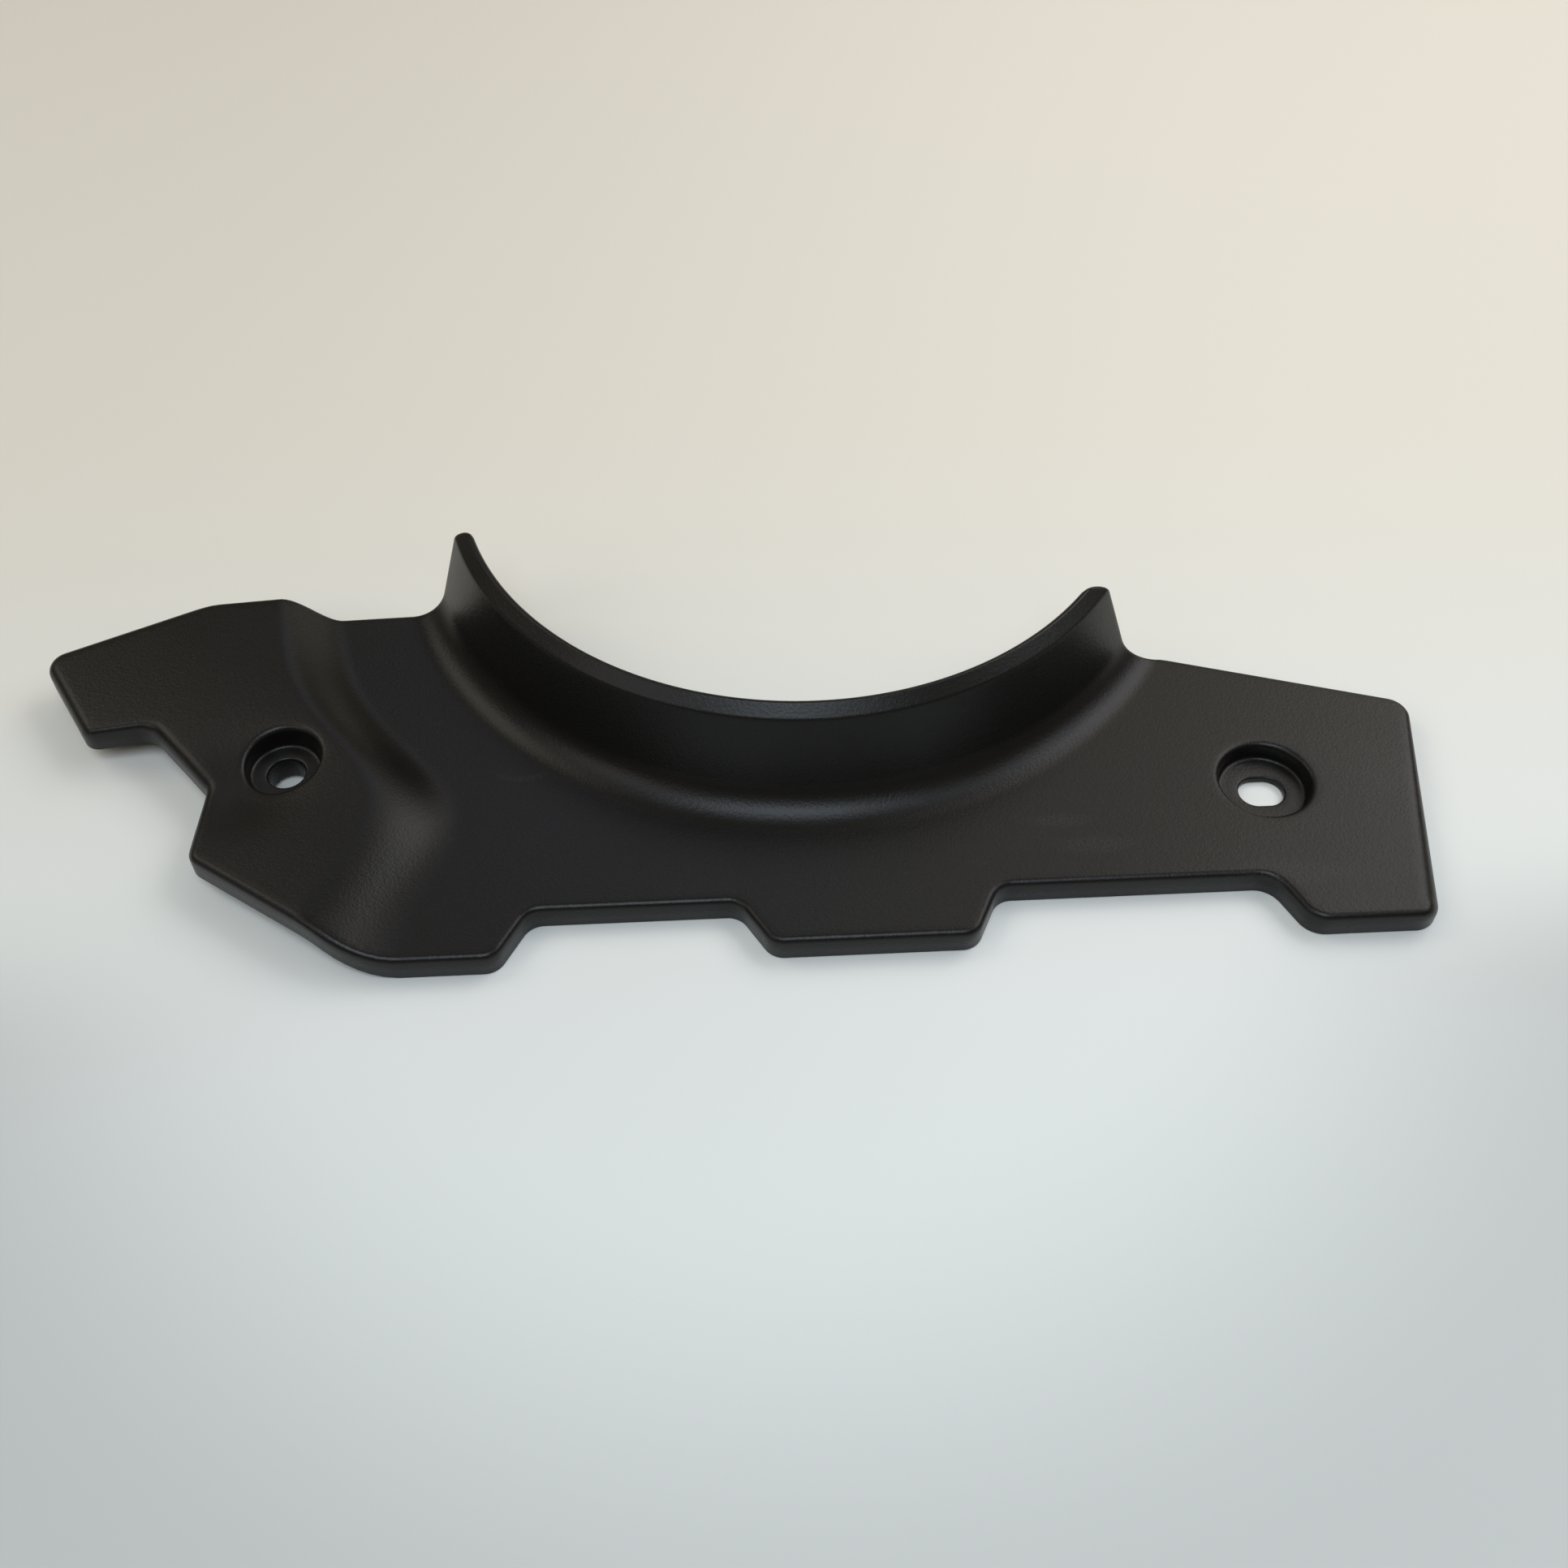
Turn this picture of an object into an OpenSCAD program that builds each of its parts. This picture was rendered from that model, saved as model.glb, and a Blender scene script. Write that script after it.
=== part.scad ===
// Lower side panel of a motorbike: one injection-moulded shell, lying face up
// on its turned-down edge. A flat plate with three front tabs carries a raised
// wing on the left and a bell-mouthed collar round the arc cut-out at the back.
// Drawing datum: X from the axis of the collar, Y from the line of the tabs,
// Z from the surface that the panel lies on.

/* [Section] */
// Height of the plate's face over the surface it lies on, the depth of its edge
face_h = 5.4; // [5.3:0.1:9]
// Wall thickness of the moulding
wall = 2.2; // [1.6:0.1:2.6]
// Radius of the rounded edge along the front
front_round = 1.2; // [0.8:0.1:2.5]
// Radius of the rounded edge at the front of the right end
right_round = 3.6; // [1.5:0.1:4.2]
// Radius of the rounded edge along the back
back_round = 1.5; // [0.8:0.1:2.5]
// Radius of the rounded edge round the wing
wing_round = 2.2; // [1:0.1:3.5]

/* [Front tabs] */
// Where the left tab meets the wing's slanted front, left of the collar's axis
tab1_left = 83.2; // [78:0.1:88]
// Right end of the left tab, left of the axis
tab1_right = 58.4; // [56:0.2:62]
// Depth of the notch between the left and the middle tab
notch1_depth = 9.2; // [6:0.2:12]
// Left end of the middle tab, left of the axis
tab2_left = 9.7; // [7:0.2:14]
// Right end of the middle tab, right of the axis
tab2_right = 26.9; // [22:0.2:30]
// Depth of the notch between the middle and the right tab
notch2_depth = 10.4; // [6:0.2:13]
// Left end of the right tab, right of the axis
tab3_left = 87.1; // [82:0.2:92]
// Right end of the right tab, right of the axis
tab3_right = 110.5; // [104:0.1:116]
// How far the left notch's sides lean, as width over depth
notch1_lean = 0.6; // [0.3:0.02:0.8]
// How far the right notch's sides lean, as width over depth
notch2_lean = 0.48; // [0.3:0.02:0.8]
// How far the left tab reaches past the line of the other two
tab1_past = 0.7; // [0:0.1:2]
// Corner radius of tabs and notches
tab_corner = 4.1; // [2.8:0.1:4.4]

/* [Right end] */
// Reach of the panel's back right corner, right of the axis
right_reach = 118.8; // [115:0.1:126]
// Distance of the back right corner from the tab line
right_corner_y = 51.5; // [44:0.1:54]
// Corner radius at the right end
right_corner = 4.6; // [4.2:0.1:7]

/* [Wing] */
// Reach of the wing's tip, left of the axis
wing_reach = 151.6; // [146:0.1:158]
// Distance of the wing's back tip from the tab line
wing_tip_y = 72.7; // [70:0.1:76]
// Width of the slanted end of the wing, along X
wing_end_run = 12.4; // [10:0.2:15]
// Length of the slanted end of the wing, along Y
wing_end_drop = 20.5; // [18:0.2:22]
// Reach of the notch's deepest point, left of the axis
wing_notch_x = 113.9; // [112:0.1:117]
// Distance of the notch's deepest point from the tab line
wing_notch_y = 38.4; // [36:0.1:42]
// Length of the notch's straight front side
wing_notch_side = 16.6; // [13:0.2:20]
// Distance of the wing's back corner from the axis
wing_back_x = 121.1; // [116:0.1:126]
// Distance of the back edge from the tab line
back_y = 84.7; // [83:0.1:86]
// Height of the wing over the plate at the back edge
step_back = 7.35; // [3:0.25:9]
// Height of the wing over the plate at the tab line
step_front = 4.5; // [1:0.25:7]
// How far the wing falls towards its tip for each millimetre
wing_fall = 0.04; // [0:0.01:0.08]
// Width of the ramp between plate and wing at the back edge
ramp_w_back = 11.5; // [9:0.5:16]
// Width of the ramp at the tab line
ramp_w_front = 20; // [12:0.5:24]
// Middle of the ramp at the back edge, left of the axis
ramp_back_x = 100; // [95:0.5:105]
// Middle of the ramp at the tab line, left of the axis
ramp_front_x = 86.5; // [82:0.5:90]
// How far the ramp swings out round the screw seat
ramp_bulge = 16.5; // [0:0.5:18]
// Distance of that swing from the tab line
ramp_bulge_y = 32.6; // [28:0.5:38]
// Length of that swing
ramp_bulge_w = 22; // [18:0.5:30]

/* [Collar] */
// Distance of the collar's axis from the tab line
axis_y = 106.8; // [104:0.1:109]
// Radius of the arc cut-out
rim_r = 67.8; // [64:0.1:70]
// Height of the collar's rim over the plate
collar_h = 21.4; // [14:0.2:26]
// Radial width of the lip
lip_w = 3.5; // [2:0.1:5]
// Rise of the lip over its width
lip_rise = 3; // [1:0.1:4]
// Lean of the collar's wall from the vertical
wall_lean = 18; // [10:0.5:24]
// Radius of the fillet between the plate and the collar
foot_r = 8; // [5:0.1:9]
// Distance of the collar's left end from the tab line
left_end_y = 86; // [85:0.1:88]
// Distance of the collar's right end from the tab line
right_end_y = 65.7; // [62:0.1:70]
// How far the collar's left end leans back over its height
left_end_lean = 3.5; // [-1:0.1:6]
// How far the collar's right end leans back over its height
right_end_lean = 1.7; // [-1:0.1:6]
// Radius of the rounded tips of the collar
tip_r = 3.1; // [1.5:0.1:4]
// Width of the rounded edge along the rim
rim_round = 1.1; // [0.5:0.1:1.4]

/* [Screw seats] */
// Distance of the left seat from the axis
left_seat_x = 100; // [97:0.2:103]
// Distance of the left seat from the tab line
left_seat_y = 43.1; // [40:0.2:46]
// Diameter of the left seat at the face
left_seat_d = 14.4; // [13:0.2:17]
// Diameter of the left screw hole
left_hole_d = 7.1; // [4:0.1:8.6]
// Depth of the shallow dip in the wing beside the left seat
dip_depth = 1.4; // [0:0.1:2]
// Reach of that dip
dip_reach = 9; // [5:0.5:14]
// Distance of the right seat from the axis
right_seat_x = 85.7; // [82:0.2:90]
// Distance of the right seat from the tab line
right_seat_y = 32.6; // [29:0.2:36]
// Diameter of the right seat at the face
right_seat_d = 17.6; // [15:0.2:19]
// Width of the right hole, across the panel
right_hole_d = 6.8; // [4:0.1:8.5]
// Length of the right slotted hole, along the panel
right_slot_l = 8.7; // [8.6:0.1:11]
// Depth of a seat below the face
seat_depth = 3.7; // [2:0.1:3.7]
// Thickness of the left seat's floor
left_floor = 5; // [1:0.1:5.8]
// Thickness of the right seat's floor
right_floor = 1.5; // [1:0.1:1.5]
// Draft of a seat's wall, as a share of its depth
seat_draft = 0.12; // [0.02:0.01:0.25]
// Thickness of the wall round a seat below the plate
seat_wall = 1.8; // [1.2:0.1:2.4]
// Width of the chamfer at a seat's mouth
seat_chamfer = 0.6; // [0.2:0.1:1]

/* [Smoothness] */
// Longest straight stretch between two points of the outline
step = 4.4; // [3.6:0.1:8]
// Points along each rounded corner of the outline
corner_n = 3; // [3:1:5]
// Rows of facets across the plate
rows = 9; // [7:1:12]
// Facets across the fillet at the foot of the collar
fillet_n = 4; // [3:1:6]
// Facets across the rounded edge
round_n = 3; // [2:1:4]

/* [Hidden] */
thin_wall = 0.7;
edge_drop = 0.3;
sides = 96;

function unit(v) = v / norm(v);
function left_of(v) = [-v[1], v[0]];
function clamp(t) = min(max(t, 0), 1);
function ease(t) = let (c = clamp(t)) c * c * (3 - 2 * c);
function mix(a, b, t) = a + (b - a) * t;

// Collar section, by the distance r from its axis, over the plate's face.
// The wall's line and the plate's line cross at wall_foot.
wall_tan = tan(90 - wall_lean);
crease_r = rim_r + lip_w;
crease_h = collar_h - lip_rise;
wall_foot = crease_r + crease_h / wall_tan;
fillet_end = wall_foot + foot_r * tan((90 - wall_lean) / 2);

// Height of a fillet of radius q about the same centre as the foot fillet
function fillet_h(r, q) =
    let (run = fillet_end - r)
    run <= 0 ? foot_r - q :
    run >= q * cos(wall_lean) ? undef : foot_r - sqrt(q * q - run * run);

// The wall and lip as two straight lines, shifted inwards by t
function slope_h(r, t) =
    min(crease_h + (crease_r - r) * wall_tan - t / sin(wall_lean),
        crease_h + (crease_r - r) * lip_rise / lip_w
            - t * norm([lip_w, lip_rise]) / lip_w);

function section_h(r, t) =
    let (f = fillet_h(r, foot_r + t))
    is_undef(f) ? slope_h(r, t) : f;

// Middle line of the ramp and the height of the moulded face without the collar
function ramp_x(y) =
    -mix(ramp_front_x, ramp_back_x, y / back_y)
    + ramp_bulge * exp(-pow((y - ramp_bulge_y) / ramp_bulge_w, 2));
function ramp_w(y) = mix(ramp_w_front, ramp_w_back, y / back_y);
function wing_share(p) = ease((ramp_x(p[1]) - p[0]) / ramp_w(p[1]) + 0.5);
function wing_h(p) =
    mix(step_front, step_back, p[1] / back_y)
    - wing_fall * max(0, ramp_x(p[1]) - p[0]);
function dip_h(p) =
    let (q = p + [left_seat_x, -left_seat_y] + 0.55 * left_seat_d * [0.71, 0.71])
    -dip_depth * exp(-(q * q) / pow(dip_reach, 2));
function base_h(p) = face_h + wing_share(p) * wing_h(p) + dip_h(p);

function axis_dist(p) = norm(p - [0, axis_y]);
function top_h(p) = base_h(p) + section_h(axis_dist(p), 0);
function under_h(p) = base_h(p) + section_h(axis_dist(p), wall);

// Corners of the front and the ends: x, y, corner radius, and the radius of the
// rounded edge before and after the corner
lean1 = notch1_depth * notch1_lean;
lean2 = notch2_depth * notch2_lean;
end_dir = unit([wing_end_run, -wing_end_drop]);
end_x = -wing_reach + wing_end_run;
end_y = wing_tip_y - wing_end_drop;
neck_x = end_x + wing_end_run;
corners = [
    [-wing_back_x, back_y, 20, back_round, wing_round],
    [-wing_reach, wing_tip_y, 4, wing_round, wing_round],
    [end_x, end_y, 3.2, wing_round, front_round],
    [neck_x, end_y + 1.2, 5, front_round, wing_round],
    [-wing_notch_x, wing_notch_y, 3, wing_round, wing_round],
    [-wing_notch_x - 0.9, wing_notch_y - wing_notch_side, 4, wing_round, front_round],
    [-tab1_left, -tab1_past, 22, front_round, front_round],
    [-tab1_right, -tab1_past, tab_corner, front_round, front_round],
    [-tab1_right + lean1, notch1_depth, tab_corner, front_round, front_round],
    [-tab2_left - lean1, notch1_depth, tab_corner, front_round, front_round],
    [-tab2_left, 0, tab_corner, front_round, front_round],
    [tab2_right, 0, tab_corner, front_round, front_round],
    [tab2_right + lean2, notch2_depth, tab_corner, front_round, front_round],
    [tab3_left - lean2, notch2_depth, tab_corner + 1, front_round, front_round],
    [tab3_left, 0, tab_corner + 1, front_round, front_round],
    [tab3_right, 0, right_corner, front_round, right_round],
    [right_reach, right_corner_y, right_corner, back_round, back_round]
];
last = len(corners) - 1;

// Where the foot circle of the collar meets the back edge
foot_left = [-sqrt(pow(fillet_end, 2) - pow(axis_y - left_end_y, 2)), left_end_y];
foot_right = [sqrt(pow(fillet_end, 2) - pow(axis_y - right_end_y, 2)), right_end_y];

function spot(i) = [corners[i][0], corners[i][1]];
function before(i) = i == 0 ? foot_left : spot(i - 1);
function after(i) = i == last ? foot_right : spot(i + 1);
function turn_of(a, b) = atan2(a[0] * b[1] - a[1] * b[0], a * b);

// Points along the arc of corner i, from share t0 to t1 of its turn
function corner_arc(i, n, t0 = 0, t1 = 1) =
    let (d1 = unit(spot(i) - before(i)), d2 = unit(after(i) - spot(i)),
         a = turn_of(d1, d2), r = corners[i][2], side = sign(a) * left_of(d1),
         centre = spot(i) - d1 * r * abs(tan(a / 2)) + side * r)
    [for (k = [0:n]) let (b = a * mix(t0, t1, k / n))
        centre - r * [side[0] * cos(b) - side[1] * sin(b),
                      side[0] * sin(b) + side[1] * cos(b)]];

// Points strictly between two given ones, no further apart than step
function between(a, b) =
    let (n = ceil(norm(b - a) / step))
    n < 2 ? [] : [for (k = [1:n - 1]) mix(a, b, k / n)];

// The front chain runs from the middle of the tip's arc to the middle of the
// back right corner's arc. The edge radius of each point comes with it.
arcs = [for (i = [1:last])
    i == 1 ? corner_arc(1, 3, 0.5, 1) :
    i == last ? corner_arc(last, 3, 0, 0.5) : corner_arc(i, corner_n)];
front = [for (i = [0:last - 1]) each
    i == last - 1 ? arcs[i] :
    concat(arcs[i], between(arcs[i][len(arcs[i]) - 1], arcs[i + 1][0]))];
front_edge = [for (i = [0:last - 1])
    let (a = corners[i + 1][3], b = corners[i + 1][4], n = len(arcs[i]) - 1,
         first = i == 0 ? 0.5 : 0, bare = i == last - 1 ? [] :
             between(arcs[i][n], arcs[i + 1][0]), m = len(bare))
    each concat([for (k = [0:n]) mix(a, b, ease(mix(first, 1, k / n)))],
        m == 0 ? [] : [for (k = [1:m]) mix(b, corners[i + 2][3], k / (m + 1))])];
n_front = len(front) - 1;

// Share of the way along the front chain, counted mostly along X, and also
// along the steep sides of the wing and of the right end, where the rows of
// facets fan out
function stride(j) =
    let (d = front[j + 1] - front[j], x = front[j][0],
         steep = x < -tab1_left ? 0.9 : x > tab3_right - right_corner ? 0.5 : 0.15)
    max(d[0], steep * norm(d));
strides = [for (j = [0:n_front - 1]) stride(j)];
function running(v) = [for (s = 0, k = 0; k <= len(v); s = s + (k < len(v) ? v[k] : 0), k = k + 1) s];
way = running(strides);
function way_x(j) = mix(front[0][0], front[n_front][0], way[j] / way[n_front]);
function first_past(x, j = 0) = j == n_front || way_x(j) >= x ? j : first_past(x, j + 1);
j_left = first_past(foot_left[0]);
j_right = first_past(foot_right[0]);

// The back chain has one point for each point of the front chain, found by X on
// the back edge left and right of the collar
path_left = concat(corner_arc(1, 3, 0.5, 0), corner_arc(0, 24, 1, 0), [foot_left]);
path_right = concat([foot_right], corner_arc(last, 3, 1, 0.5));
function on_path(path, x, k = 0) =
    k >= len(path) - 2 || path[k + 1][0] > x ?
        mix(path[k], path[k + 1], (x - path[k][0]) / (path[k + 1][0] - path[k][0])) :
        on_path(path, x, k + 1);
function back_left(j) =
    on_path(path_left, mix(front[0][0], foot_left[0],
                           (way_x(j) - way_x(0)) / (way_x(j_left) - way_x(0))));
function back_right(j) =
    on_path(path_right, mix(foot_right[0], front[n_front][0],
                            (way_x(j) - way_x(j_right)) / (way_x(n_front) - way_x(j_right))));

// Rows of the collar: three across the lip, one up the wall, the fillet's own.
// Row 0 is the rim, moved outwards by the inset d.
collar_rows = 4 + fillet_n;
function row_r(v, d = 0) =
    v < 3 ? mix(rim_r + d, crease_r, [0, 0.25, 0.6][v]) :
    v == 3 ? crease_r : fillet_end - foot_r * sin((90 - wall_lean) * (collar_rows - v) / fillet_n);

// The collar's ends keep to a line across the panel and round off at the tips
function tip_trim(r, d) =
    let (s = r - rim_r, q = tip_r - d)
    s >= tip_r || q <= 0 ? 0 : q - sqrt(max(0, q * q - pow(tip_r - s, 2)));
function at_angle(r, a) = [r * sin(a), axis_y - r * cos(a)];
function end_angle(r, side, d) =
    let (y = side < 0 ? left_end_y : right_end_y,
         lean = (side < 0 ? left_end_lean : right_end_lean) * section_h(r, 0) / collar_h)
    acos((axis_y - y - lean + d + tip_trim(r, d)) / r);
function end_point(v, side, d) =
    let (r = row_r(v, d)) at_angle(r, side * end_angle(r, side, d));
span = j_right - j_left;

// The outline as one loop: front, right back edge, right end of the collar,
// rim, left end of the collar, left back edge
right_end = [for (v = [collar_rows:-1:0]) end_point(v, 1, 0)];
left_end = [for (v = [0:collar_rows]) end_point(v, -1, 0)];
a_left = -end_angle(rim_r, -1, 0);
a_right = end_angle(rim_r, 1, 0);
rim = [for (u = [span - 1:-1:1]) at_angle(rim_r, mix(a_left, a_right, u / span))];
outline = concat(front,
    [for (j = [n_front - 1:-1:j_right + 1]) back_right(j)],
    right_end, rim, left_end,
    [for (j = [j_left - 1:-1:1]) back_left(j)]);
n_loop = len(outline);
i_right_end = n_front + n_front - j_right;
i_rim = i_right_end + collar_rows;
i_left_end = i_rim + span;
i_back_left = i_left_end + collar_rows;

// How far each point of the outline belongs to the collar's thin edge
thin = [for (i = [0:n_loop - 1])
    i < i_right_end || i > i_back_left ? 0 :
    i > i_rim && i < i_left_end ? 1 :
    ease((fillet_end - axis_dist(outline[i])) / (foot_r * cos(wall_lean)))];
edge = concat(front_edge, [for (i = [n_front + 1:n_loop - 1])
    i > i_back_left ?
        mix(back_round, wing_round, (i - i_back_left) / (n_loop - i_back_left)) :
        mix(back_round, rim_round, thin[i])]);

inward = [for (i = [0:n_loop - 1])
    let (a = outline[(i + n_loop - 1) % n_loop], b = outline[(i + 1) % n_loop],
         p = outline[i], n1 = left_of(unit(p - a)), n2 = left_of(unit(b - p)),
         n = unit(n1 + n2))
    n / max(0.5, n * n1)];
function inset(i, d) =
    i >= i_right_end && i <= i_rim ? end_point(i_rim - i, 1, d) :
    i >= i_left_end && i <= i_back_left ? end_point(i - i_left_end, -1, d) :
    outline[i] + inward[i] * d;

// Loop numbers of the points at the ends of a column or of a collar row
function loop_back(j) =
    j == n_front ? n_front :
    j > j_right ? 2 * n_front - j :
    j == j_right ? i_right_end :
    j == j_left ? i_back_left :
    (i_back_left + j_left - j) % n_loop;

inset_top = [for (i = [0:n_loop - 1]) inset(i, edge[i])];
inset_under = [for (i = [0:n_loop - 1]) inset(i, mix(wall, thin_wall, thin[i]))];

function polar(p) = let (d = p - [0, axis_y]) [norm(d), atan2(d[0], -d[1])];
function from_polar(q) = at_angle(q[0], q[1]);

// Foot row, interior of the plate and interior of the collar for one surface
function foot_row(loop) =
    let (a = polar(loop[i_back_left]), b = polar(loop[i_right_end]))
    [for (u = [1:span - 1]) from_polar(mix(a, b, u / span))];
function column_top(loop, foot, j) =
    j > j_left && j < j_right ? foot[j - j_left - 1] : loop[loop_back(j)];
function plate_inside(loop, foot) =
    [for (j = [1:n_front - 1]) for (i = [1:rows - 1])
        mix(column_top(loop, foot, j), loop[j], i / rows)];
function collar_inside(loop) =
    [for (v = [1:collar_rows - 1])
        let (a = polar(loop[i_left_end + v]), b = polar(loop[i_rim - v]))
        for (u = [1:span - 1]) from_polar(mix(a, b, u / span))];
function flat_points(loop) =
    let (foot = foot_row(loop))
    concat(foot, plate_inside(loop, foot), collar_inside(loop));

top_flat = flat_points(inset_top);
under_flat = flat_points(inset_under);

// Rings down the edge: rounded edge, foot of the edge, its inner side
edge_top = [for (p = inset_top) top_h(p)];
edge_under = [for (p = inset_under) under_h(p)];
edge_foot = [for (i = [0:n_loop - 1])
    let (end = min(edge_top[i] - edge[i], edge_under[i]) - edge_drop)
    mix(min(end, base_h(inset_top[i]) - face_h), end, thin[i])];
function ring(k) =
    [for (i = [0:n_loop - 1])
        let (a = 90 * k / round_n, p = inset(i, edge[i] * (1 - sin(a))))
        [p[0], p[1], edge_top[i] - edge[i] * (1 - cos(a))]];
foot_ring = [for (i = [0:n_loop - 1]) [outline[i][0], outline[i][1], edge_foot[i]]];
inner_ring = [for (i = [0:n_loop - 1]) [inset_under[i][0], inset_under[i][1], edge_foot[i]]];
under_ring = [for (i = [0:n_loop - 1]) [inset_under[i][0], inset_under[i][1], edge_under[i]]];

rings = round_n + 4;
points = concat(
    [for (k = [0:round_n]) each ring(k)], foot_ring, inner_ring, under_ring,
    [for (p = top_flat) [p[0], p[1], top_h(p)]],
    [for (p = under_flat) [p[0], p[1], under_h(p)]]);

// Point numbers on the top surface (s = 0) and the underside (s = 1)
n_flat = len(top_flat);
n_foot = span - 1;
n_plate = (n_front - 1) * (rows - 1);
function first_of(s) = rings * n_loop + s * n_flat;
function loop_id(s, i) = (s == 0 ? 0 : (rings - 1) * n_loop) + i;
function foot_id(s, j) =
    j > j_left && j < j_right ? first_of(s) + j - j_left - 1 : loop_id(s, loop_back(j));
function plate_id(s, j, i) =
    j == 0 ? loop_id(s, 0) : j == n_front ? loop_id(s, n_front) :
    i == 0 ? foot_id(s, j) : i == rows ? loop_id(s, j) :
    first_of(s) + n_foot + (j - 1) * (rows - 1) + i - 1;
function collar_id(s, u, v) =
    v == collar_rows ? foot_id(s, j_left + u) :
    v == 0 ? loop_id(s, i_left_end - u) :
    u == 0 ? loop_id(s, i_left_end + v) :
    u == span ? loop_id(s, i_rim - v) :
    first_of(s) + n_foot + n_plate + (v - 1) * (span - 1) + u - 1;

// Two triangles for each cell, turned over on the underside
function cell(a, b, c, d, s) =
    s == 0 ? [if (a != b && a != d) [a, d, b], if (b != c && c != d) [b, d, c]] :
    [if (a != b && a != d) [a, b, d], if (b != c && c != d) [b, c, d]];
function skin(s) = concat(
    [for (j = [0:n_front - 1]) for (i = [0:rows - 1]) each
        cell(plate_id(s, j, i), plate_id(s, j, i + 1),
             plate_id(s, j + 1, i + 1), plate_id(s, j + 1, i), s)],
    [for (u = [0:span - 1]) for (v = [0:collar_rows - 1]) each
        cell(collar_id(s, u, v), collar_id(s, u, v + 1),
             collar_id(s, u + 1, v + 1), collar_id(s, u + 1, v), s)]);
band = [for (k = [0:rings - 2]) for (i = [0:n_loop - 1])
    let (a = k * n_loop + i, b = k * n_loop + (i + 1) % n_loop)
    each [[a, b, b + n_loop], [a, b + n_loop, a + n_loop]]];
faces = concat(skin(0), skin(1), band);

// The panel's middle, taken from its own outline
xs = [for (p = outline) p[0]];
ys = [for (p = outline) p[1]];
middle = [(min(xs) + max(xs)) / 2, (min(ys) + max(ys)) / 2];

left_seat = [-left_seat_x, left_seat_y];
right_seat = [right_seat_x, right_seat_y];

// Cup below the plate that carries a screw's head
module seat_cup(at, d, floor_t) {
    face = base_h(at);
    bottom = face - seat_depth - floor_t;
    translate([at[0], at[1], bottom])
        cylinder(h = face - wall / 2 - bottom, d = d + 2 * seat_wall, $fn = sides);
}

// Tapered pocket from the face down to the seat's floor, with its chamfer
module seat_pocket(at, d) {
    face = base_h(at);
    floor_r = d / 2 - seat_draft * seat_depth;
    slope = (d / 2 - floor_r) / seat_depth;
    above = 3;
    translate([at[0], at[1], face - seat_depth])
        cylinder(h = seat_depth + above, r1 = floor_r, r2 = d / 2 + slope * above, $fn = sides);
    translate([at[0], at[1], face - seat_chamfer])
        cylinder(h = above, r1 = d / 2, r2 = d / 2 + above, $fn = sides);
}

// Screw hole, drawn out to a slot of the given length along X
module seat_hole(at, d, l, floor_t) {
    bottom = base_h(at) - seat_depth - floor_t - 1;
    off = (l - d) / 2;
    tall = floor_t + 2;
    for (s = l > d ? [-1, 1] : [0])
        translate([at[0] + s * off, at[1], bottom]) cylinder(h = tall, d = d, $fn = sides);
    if (l > d)
        translate([at[0] - off, at[1] - d / 2, bottom]) cube([2 * off, d, tall]);
}

module side_panel() {
    color([0.13, 0.13, 0.13])
        translate([-middle[0], -middle[1], 0])
            difference() {
                union() {
                    polyhedron(points, faces, convexity = 8);
                    seat_cup(left_seat, left_seat_d, left_floor);
                    seat_cup(right_seat, right_seat_d, right_floor);
                }
                seat_pocket(left_seat, left_seat_d);
                seat_pocket(right_seat, right_seat_d);
                seat_hole(left_seat, left_hole_d, left_hole_d, left_floor);
                seat_hole(right_seat, right_hole_d, right_slot_l, right_floor);
            }
}

side_panel();
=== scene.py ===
"""Lower side panel of a motorbike: one moulded shell, lying face up on a pale table.

The shell is modelled again at a fine spacing from the driving sizes of the part's
source, so that its fillets, its ramp and its rounded edges shade smoothly. Sizes
are in millimetres here and become metres in the meshes. The drawing datum is the
source's: X from the collar's axis, Y from the line of the front tabs, Z from the
table. The frame's origin is the middle of the outline.
"""
import math

import bpy
import numpy as np
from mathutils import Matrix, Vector
from mathutils.geometry import delaunay_2d_cdt

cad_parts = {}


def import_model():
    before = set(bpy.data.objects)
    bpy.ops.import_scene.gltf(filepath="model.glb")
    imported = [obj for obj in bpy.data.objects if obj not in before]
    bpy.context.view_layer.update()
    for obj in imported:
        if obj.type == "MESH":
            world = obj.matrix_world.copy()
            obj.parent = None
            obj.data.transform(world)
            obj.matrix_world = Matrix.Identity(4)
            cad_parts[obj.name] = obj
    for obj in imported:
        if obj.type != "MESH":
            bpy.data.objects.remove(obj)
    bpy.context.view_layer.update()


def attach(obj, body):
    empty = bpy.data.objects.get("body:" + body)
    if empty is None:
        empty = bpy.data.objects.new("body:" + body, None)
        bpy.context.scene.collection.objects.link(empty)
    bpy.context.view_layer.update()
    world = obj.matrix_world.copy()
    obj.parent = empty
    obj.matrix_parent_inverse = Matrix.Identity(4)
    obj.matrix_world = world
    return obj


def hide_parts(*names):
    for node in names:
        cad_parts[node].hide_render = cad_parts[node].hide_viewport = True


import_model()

MM = 0.001
NODE = "side_panel"

# Sizes of the shell
FACE_H, WALL = 5.4, 2.2
FRONT_ROUND, RIGHT_ROUND, BACK_ROUND, WING_ROUND = 1.2, 3.6, 1.5, 2.2

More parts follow.
